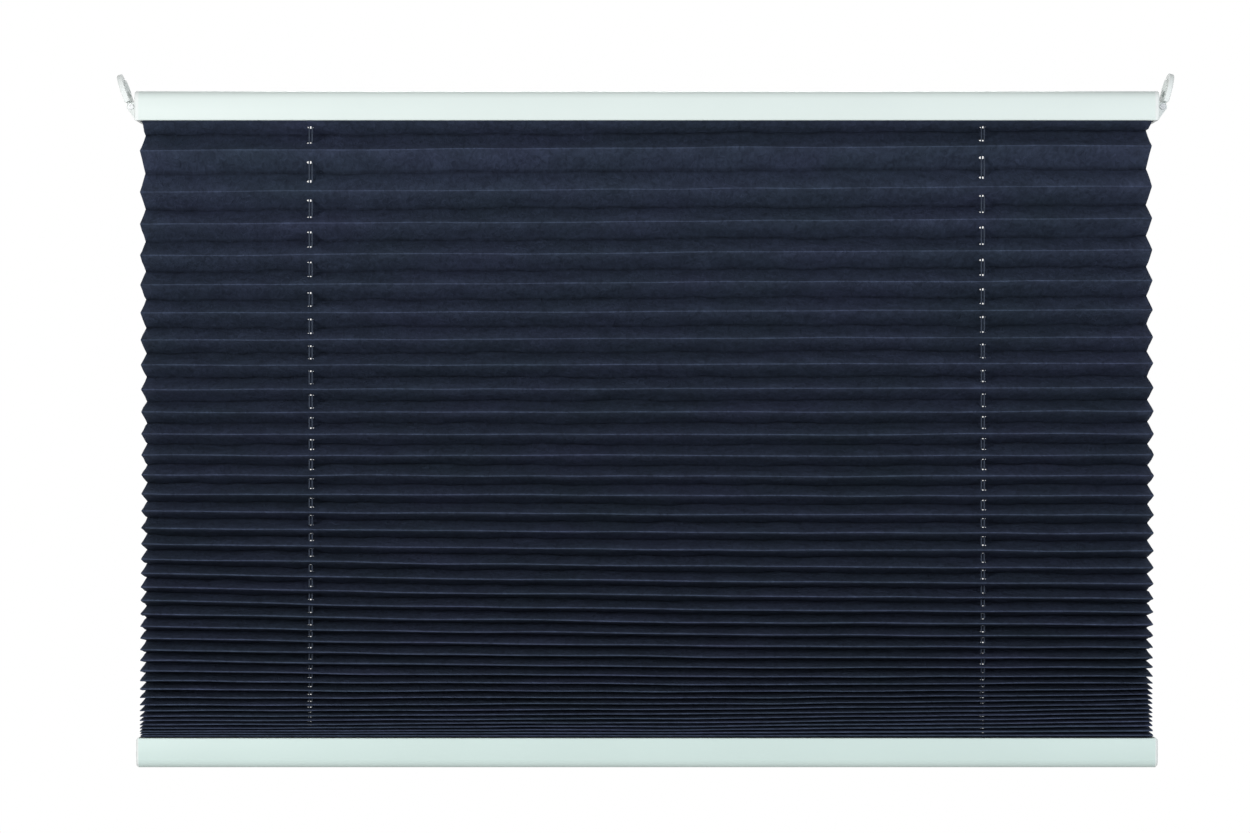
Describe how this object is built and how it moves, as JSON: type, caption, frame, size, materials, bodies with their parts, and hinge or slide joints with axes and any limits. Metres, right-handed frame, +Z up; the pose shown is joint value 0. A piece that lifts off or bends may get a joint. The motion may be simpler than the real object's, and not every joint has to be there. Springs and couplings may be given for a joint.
{
  "type": "pleated blind",
  "caption": "Pleated fabric blind on a slim head rail with hinged fixing ears, drawn part way down to a matching bottom rail on thin lift cords.",
  "frame": {"origin": "centre of the head rail's top face", "axes": "+X along the rails to the right as seen from the room, +Y away from the room towards the window, +Z up"},
  "size_m": [0.5183, 0.022, 0.3399],
  "materials": {
    "coated_rail": "satin powder coat",
    "white_plastic": "semi-gloss moulded",
    "pleat_fabric": "crushed crepe polyester",
    "cord": "braided polyester",
    "strip_plastic": "extruded",
    "eyelet_plastic": "moulded",
    "spool_plastic": "moulded",
    "cradle_plastic": "moulded",
    "steel_pin": "drawn",
    "shaft_metal": "drawn"
  },
  "bodies": {
    "head": {"head_rail": "coated_rail", "head_fabric_strip": "strip_plastic", "pleated_fabric": "pleat_fabric", "spring_motor": "cradle_plastic", "head_end_cap_left": "white_plastic", "head_end_cap_right": "white_plastic", "ear_pin_left": "steel_pin", "ear_pin_right": "steel_pin", "head_cord_eyelet_left": "eyelet_plastic", "head_cord_eyelet_right": "eyelet_plastic", "spool_cradle_left": "cradle_plastic", "spool_cradle_right": "cradle_plastic", "lift_cord_inner_left": "cord", "lift_cord_inner_right": "cord", "lift_cord_outer_left": "cord", "lift_cord_outer_right": "cord"},
    "foot": {"bottom_rail": "coated_rail", "bottom_fabric_strip": "strip_plastic", "bottom_end_cap_left": "white_plastic", "bottom_end_cap_right": "white_plastic", "bottom_cord_eyelet_left": "eyelet_plastic", "bottom_cord_eyelet_right": "eyelet_plastic", "cord_anchor_left": "eyelet_plastic", "cord_anchor_right": "eyelet_plastic"},
    "drive": {"drive_shaft": "shaft_metal", "spring_hub": "spool_plastic", "cord_spool_left": "spool_plastic", "cord_spool_right": "spool_plastic", "wound_cord_left": "cord", "wound_cord_right": "cord"},
    "ear_left": {"fixing_ear_left": "white_plastic"},
    "ear_right": {"fixing_ear_right": "white_plastic"}
  },
  "joints": [
    {"name": "lift", "type": "slide", "parent": "head", "child": "foot", "axis": [0, 0, 1], "range_m": [-1, 0.25], "deforming": ["pleated_fabric", "lift_cord_inner_left", "lift_cord_inner_right", "lift_cord_outer_left", "lift_cord_outer_right"]},
    {"name": "drive_spin", "type": "hinge", "parent": "head", "child": "drive", "pos_m": [0, 0.0032, -0.0059], "axis": [1, 0, 0], "range_deg": [-4560, 18200]},
    {"name": "ear_left_swivel", "type": "hinge", "parent": "head", "child": "ear_left", "pos_m": [-0.2524, 0, -0.0075], "axis": [0, -1, 0], "range_deg": [-20, 70]},
    {"name": "ear_right_swivel", "type": "hinge", "parent": "head", "child": "ear_right", "pos_m": [0.2524, 0, -0.0075], "axis": [0, 1, 0], "range_deg": [-15, 75]}
  ],
  "couplings": [
    {"joint": "drive_spin", "follows": "lift", "rad_per_m": -317.46}
  ]
}
